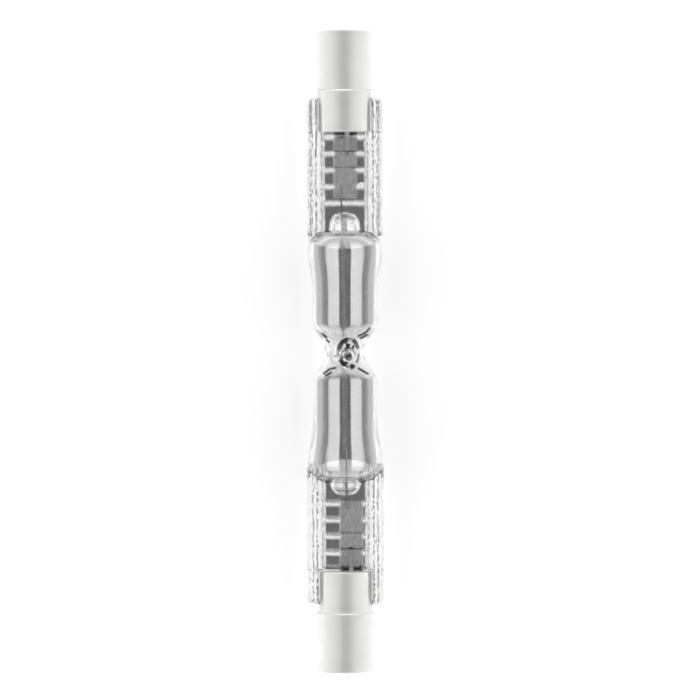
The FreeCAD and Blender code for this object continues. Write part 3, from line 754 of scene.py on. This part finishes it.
# %% Carry a ring along a path
def wire(path, toward, radius, sides=10):
    """Rings round a path, each in a plane square to it, and turned to start at toward."""
    heading = np.gradient(path, axis=0)
    heading /= np.linalg.norm(heading, axis=1, keepdims=True)
    across = np.cross(heading, toward)
    across /= np.linalg.norm(across, axis=1, keepdims=True)
    upright = np.cross(across, heading)
    turn = np.linspace(0, 2 * np.pi, sides, endpoint=False)[:, None]
    spokes = across[:, None] * np.cos(turn) + upright[:, None] * np.sin(turn)
    return path[:, None] + spokes * np.broadcast_to(radius, len(path))[:, None, None]


def eased(path, reach):
    """The path with each point averaged over its neighbours within reach, its ends kept."""
    weights = np.hanning(2 * reach + 3)[1:-1]
    padded = np.concatenate([np.repeat(path[:1], reach, 0), path, np.repeat(path[-1:], reach, 0)])
    smooth = [np.convolve(padded[:, axis], weights / weights.sum(), "valid") for axis in range(3)]
    return np.stack(smooth, axis=1)


def straight(start, end, step=0.06):
    """Evenly spaced points from start to end, without the end."""
    count = max(2, int(np.linalg.norm(np.subtract(end, start)) / step))
    return np.linspace(start, end, count, endpoint=False)


print("points on a straight of 1 mm:", len(straight([0, 0, 0], [0, 1, 0])))

# %% Path of the filament
COIL, LEAD_HEIGHT, STEPS, WIRE = 0.26, 0.16, 20, 0.085
START = np.arcsin(LEAD_HEIGHT / COIL)
MIDDLE_A, MIDDLE_B = -0.17, -0.07


def coil(first, last, turns, centre):
    """Helix from y first to y last: x is the centre less radius cos, z is radius sin of the turn."""
    turn = START + 2 * np.pi * turns * np.linspace(0, 1, int(turns * STEPS) + 1)
    y = np.linspace(first, last, len(turn))
    return np.stack([centre - COIL * np.cos(turn), y, COIL * np.sin(turn)], axis=1)


coil_a = coil(12.74, 2.39, 28, MIDDLE_A)
coil_b = coil(-2.48, -11.98, 25.5 - START / np.pi, MIDDLE_B)
tail_a = straight([coil_a[0, 0], 14.85, coil_a[0, 2]], coil_a[0])
tail_b = straight([coil_b[-1, 0], -15.45, coil_b[-1, 2]], coil_b[-1])[::-1]
link = straight(coil_a[-1], coil_b[0])[1:]
route = np.concatenate([tail_a, coil_a, link, coil_b, tail_b])
print("wire in the filament, mm:", np.linalg.norm(np.diff(route, axis=0), axis=1).sum().round(1))

# %% The filament
middle = np.where(route[:, 1] > 0, MIDDLE_A, MIDDLE_B)
outward = np.stack([route[:, 0] - middle, np.zeros(len(route)), route[:, 2]], axis=1)
rings = wire(eased(route, 2), outward, WIRE)
add_piece("tungsten_filament", [rings], tungsten, "tungsten_wire", "filament")

# %% [markdown]
# The inner leads were gripped by soft quartz as it was pressed, so they waver a little and vary
# in width. Each runs along the middle of the straight lead in the CAD model.

# %% Inner leads
LEAD, LEAD_VARIES, LEAD_WAVE = 0.13, 0.02, 0.06

for end, side in (("a", 1), ("b", -1)):
    low, high = box_mm(f"inner_lead_{end}")
    centre = (low + high) / 2
    y = np.linspace(low[1], high[1], 90)
    x = centre[0] + LEAD_WAVE * wander(y, 0.35, 1.0 + side) * hump(y - centre[1], 2.7)
    path = np.stack([x, y, np.full_like(y, centre[2])], axis=1)
    thick = LEAD + LEAD_VARIES * wander(y, 0.2, 2.0)
    rings = wire(path, np.array([[0.0, 0.0, 1.0]]), thick, 16)
    names = ("molybdenum_wire", f"inner_lead_{end}")
    add_piece(f"molybdenum_inner_lead_{end}", [rings], drawn_wire, *names)

# %% [markdown]
# The foils are rolled to a knife edge at both sides, which keeps the quartz from cracking there.
# So a foil's cross-section is a very flat ellipse, and it ripples a little where the quartz
# pulled at it. The scorch runs across it at the weld, with a black spot under the lead, and the
# end that goes into the cap is darker.

# %% Foils
FOIL_THICK, FOIL_RIPPLE = 0.028, 0.018


def scorch(x, off, lead_x, weld):
    """Darkness of the foil: two lines across it, a spot under the lead, and its dark end."""
    dark = 0.7 * hump(off - weld + 0.05, 0.2) + 0.45 * hump(off - weld + 2.0, 0.25)
    dark = dark + 1.6 * hump(np.hypot(x - lead_x, off - weld), 0.45)
    return np.clip(dark + ramp(off + 0.12 * wander(x, 0.35, 2.0), 25.9, 26.5), 0, 1)


foil_turn = np.linspace(0, 2 * np.pi, 48, endpoint=False)
for end, side, lead_x in (("a", 1, 0.32), ("b", -1, 0.66)):
    low, high = box_mm(f"molybdenum_foil_{end}")
    y, turn = np.meshgrid(np.linspace(low[1], high[1], 160), foil_turn, indexing="ij")
    across = -np.cos(turn)
    x = (low[0] + high[0]) / 2 + (high[0] - low[0]) / 2 * across
    belly = FOIL_RIPPLE * wander(y, 0.5, 1.0 + side) * (1 - across**2)
    z = belly + FOIL_THICK * np.sqrt(1 - across**2 + 0.01) * np.sin(turn)
    weld = np.abs(box_mm(f"outer_lead_{end}")).min(axis=0)[1]
    off = np.abs(y) + 0.05 * wander(x, 0.3, 1.0 + side)
    numbers = {"edge": ramp(np.abs(across), 0.88, 0.94), "burn": scorch(x, off, lead_x, weld)}
    names = ("molybdenum_foil", f"molybdenum_foil_{end}")
    strip = np.stack([x, y, z], axis=-1)
    add_piece(f"molybdenum_foil_strip_{end}", [strip], rolled_foil, *names, numbers)

# %% [markdown]
# The bulb lies on a sheet of white paper. The paper is a plain pale grey, and the eye sees it lit
# up to white, while the light that falls on the bulb stays at a plain level, so the bulb's own
# colours are right. What glass and metal mirror is lifted less, because the photograph's glass
# looks grey against its white ground.

# %% Floor
FLOOR_HALF, FLOOR_LEVEL = 4.0, -4.62 * MM
SEEN_LIFT, MIRRORED_LIFT = 0.55, 0.6


def by_gloss(tree, path):
    """1 for light that a glossy or a clear surface passes on, else 0."""
    rays = {0: path.outputs["Is Glossy Ray"], 1: path.outputs["Is Transmission Ray"]}
    return add_node(tree, "ShaderNodeMath", rays, operation="MAXIMUM")


paper, tree = new_material("pale_paper_floor")
path = add_node(tree, "ShaderNodeLightPath")
lift = {0: path.outputs["Is Camera Ray"], 1: SEEN_LIFT}
lift = add_node(tree, "ShaderNodeMath", lift, operation="MULTIPLY")
lift = {0: by_gloss(tree, path), 1: MIRRORED_LIFT, 2: lift}
lift = add_node(tree, "ShaderNodeMath", lift, operation="MULTIPLY_ADD")
matt = add_node(tree, "ShaderNodeBsdfDiffuse", {"Color": linear("#EEEEEE")})
glow = add_node(tree, "ShaderNodeEmission", {"Color": linear("#FFFFFF"), "Strength": lift})
body = add_node(tree, "ShaderNodeAddShader", {0: matt, 1: glow})
add_node(tree, "ShaderNodeOutputMaterial", {"Surface": body})
corners = np.array([(-1, -1, 0), (1, -1, 0), (1, 1, 0), (-1, 1, 0)]) * FLOOR_HALF
mesh = bpy.data.meshes.new("floor")
mesh.from_pydata((corners + (0, 0, FLOOR_LEVEL)).tolist(), [], [(0, 1, 2, 3)])
mesh.materials.append(paper)
floor = bpy.data.objects.new("floor", mesh)
bpy.context.scene.collection.objects.link(floor)
floor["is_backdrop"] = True
print("floor, m:", 2 * FLOOR_HALF, "wide, at height", round(FLOOR_LEVEL, 5))

# %% [markdown]
# White things on white paper are lit from low down all round, so that their sides glow and their
# tops stay grey. So the room is bright near the horizon and dark overhead. The tube of a bulb
# mirrors the whole room, and what it mirrors is set apart from what lights it: a dim room, with
# two long bright strips in line with the lamps, which fade toward the bulb's ends. Those strips
# give the soft ends of the reflections on the domes and the shoulders.

# %% World
LOW_GLOW, STRIP_GLOW = 10.5, 1.4

world = bpy.data.worlds.new("studio")
bpy.context.scene.world = world
world.use_nodes = True
tree = world.node_tree
tree.nodes.clear()
direction = add_node(tree, "ShaderNodeTexCoord").outputs["Generated"]
heading = add_node(tree, "ShaderNodeSeparateXYZ", {0: direction}).outputs
up = heading["Z"]
lit = {"Value": up, "From Min": 0.03, "From Max": 0.22, "To Min": LOW_GLOW, "To Max": 0.0}
lit = add_node(tree, "ShaderNodeMapRange", lit, interpolation_type="SMOOTHSTEP")
shown = {"Value": up, "From Min": 0.1, "From Max": 0.8, "To Min": 0.45, "To Max": 0.08}
shown = add_node(tree, "ShaderNodeMapRange", shown, interpolation_type="SMOOTHSTEP")
print("brightness of the room at the horizon:", LOW_GLOW)

# %% Strips that the glass mirrors
aside = add_node(tree, "ShaderNodeMath", {0: heading["X"]}, operation="ABSOLUTE")
slant = add_node(tree, "ShaderNodeMath", {0: aside, 1: up}, operation="DIVIDE")
near_box = {"Value": slant, "From Min": 0.36, "From Max": 0.41}
near_box = add_node(tree, "ShaderNodeMapRange", near_box)
past_box = {"Value": slant, "From Min": 1.8, "From Max": 2.1, "To Min": 1.0, "To Max": 0.0}
past_box = add_node(tree, "ShaderNodeMapRange", past_box)
endward = add_node(tree, "ShaderNodeMath", {0: heading["Y"]}, operation="ABSOLUTE")
start = {"Value": endward, "From Min": 0.42, "From Max": 0.45}
start = add_node(tree, "ShaderNodeMapRange", start)
fade = {"Value": endward, "From Min": 0.45, "From Max": 0.95, "To Min": STRIP_GLOW, "To Max": 0.0}
strip = add_node(tree, "ShaderNodeMapRange", fade)
for factor in (start, near_box, past_box):
    strip = add_node(tree, "ShaderNodeMath", {0: strip, 1: factor}, operation="MULTIPLY")
shown = add_node(tree, "ShaderNodeMath", {0: shown, 1: strip}, operation="MAXIMUM")
path = add_node(tree, "ShaderNodeLightPath")
room = add_node(tree, "ShaderNodeMix", {"Factor": by_gloss(tree, path), "A": lit, "B": shown})
room = {"Factor": path.outputs["Is Camera Ray"], "A": room, "B": 1.0}
room = add_node(tree, "ShaderNodeMix", room)
sky = add_node(tree, "ShaderNodeBackground", {"Color": linear("#FFFFFF"), "Strength": room})
add_node(tree, "ShaderNodeOutputWorld", {"Surface": sky})
print("nodes in the world:", len(tree.nodes))

# %% [markdown]
# Two soft boxes hang over the bulb, one at each side, and give the two bright stripes along every
# round part. Their width sets the width of the stripes, and their slant sets the gap between
# them. A single lamp overhead would put one stripe down the middle, over the filament.

# %% Soft boxes
RADIANCE, SLANT, AWAY = 1.5, np.radians(42), 0.3

for name, side in (("left", -1), ("right", 1)):
    lamp = bpy.data.lights.new(f"softbox_{name}", "AREA")
    lamp.shape, lamp.size, lamp.size_y = "RECTANGLE", 0.23, 0.28
    lamp.energy = RADIANCE * np.pi * lamp.size * lamp.size_y
    box = bpy.data.objects.new(f"softbox_{name}", lamp)
    bpy.context.scene.collection.objects.link(box)
    toward = Vector((side * np.sin(SLANT), 0, np.cos(SLANT)))
    along_bulb = Vector((0, 1, 0))
    box.location = toward * AWAY
    turned = Matrix((along_bulb.cross(toward), along_bulb, toward)).transposed()
    box.rotation_euler = turned.to_euler()
    print(lamp.name, "gives", round(lamp.energy, 3), "W")

# %% [markdown]
# The photograph was taken from straight above with a long lens, so the bulb stands upright in it
# and neither end looks larger. The camera leans a fifth of a degree, as the one in the photograph
# did.

# %% Camera
EYE, AIM, LEAN = Vector((0.6, 18.6, 470)) * MM, Vector((0.6, 0.2, 0)) * MM, np.radians(-0.18)

camera = bpy.data.objects.new("camera", bpy.data.cameras.new("camera"))
bpy.context.scene.collection.objects.link(camera)
bpy.context.scene.camera = camera
camera.data.sensor_width, camera.data.lens = 36.0, 198.5
back = (EYE - AIM).normalized()
upward = back.cross(Vector((np.cos(LEAN), np.sin(LEAN), 0))).normalized()
axes = Matrix((upward.cross(back), upward, back)).transposed()
camera.matrix_world = Matrix.Translation(EYE) @ axes.to_4x4()
camera.data.clip_start, camera.data.clip_end = 0.01, 20.0
bpy.context.scene.view_settings.view_transform = "Standard"
print("camera, mm over the bulb:", round((EYE - AIM).length / MM))

# %% [markdown]
# The finished bulb has to keep the size of the CAD model, because other parts are fitted to that.
# So the box of what is drawn is printed.

# %% Measure and finish
low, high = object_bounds()
print("visual box, mm:", [round(1000 * side, 2) for side in (high - low)])
